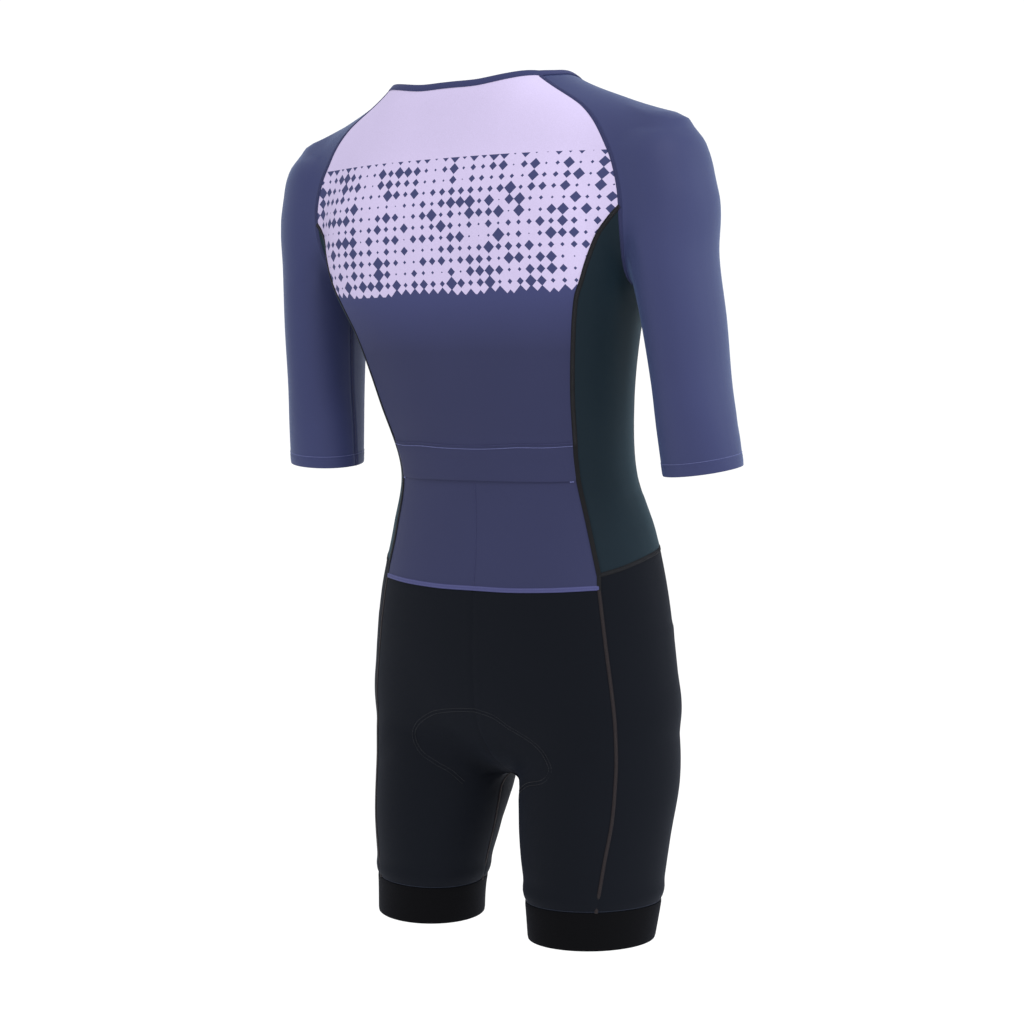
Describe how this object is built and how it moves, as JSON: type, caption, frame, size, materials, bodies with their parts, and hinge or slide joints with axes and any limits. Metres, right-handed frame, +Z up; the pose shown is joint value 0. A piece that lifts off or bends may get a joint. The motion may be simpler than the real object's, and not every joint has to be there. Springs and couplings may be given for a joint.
{
  "type": "triathlon suit",
  "caption": "Close-fitting one-piece triathlon suit with short raglan sleeves, front zip, rear pocket panel, leg grippers and seat pad.",
  "frame": {"origin": "middle of the neck base, where the wearer's shoulders carry the suit", "axes": "+Z up, the front with the zip faces -Y, and +X is the wearer's left"},
  "size_m": [0.537, 0.2568, 0.8613],
  "materials": {
    "body_cloth": "matte knit",
    "side_cloth": "matte mesh",
    "sleeve_cloth": "satin knit",
    "shorts_cloth": "matte knit",
    "elastic": "matte elastic",
    "seat_pad": "matte fleece",
    "zip_hardware": "satin"
  },
  "bodies": {
    "suit": {"back_upper": "body_cloth", "back_pocket": "body_cloth", "front_left": "body_cloth", "front_right": "body_cloth", "neck_binding": "body_cloth", "side_left": "side_cloth", "side_right": "side_cloth", "sleeve_left": "sleeve_cloth", "sleeve_right": "sleeve_cloth", "shorts_back_left": "shorts_cloth", "shorts_back_right": "shorts_cloth", "shorts_front_left": "shorts_cloth", "shorts_front_right": "shorts_cloth", "leg_gripper_left": "elastic", "leg_gripper_right": "elastic", "zip_strip": "elastic", "seat_pad": "seat_pad", "zip_slider": "zip_hardware"},
    "zip_pull": {"zip_pull": "zip_hardware"}
  },
  "joints": [
    {"name": "zip_pull_hinge", "type": "hinge", "parent": "suit", "child": "zip_pull", "pos_m": [0, -0.09631, -0.07615], "axis": [-1, 0, 0], "range_deg": [0, 165]}
  ]
}
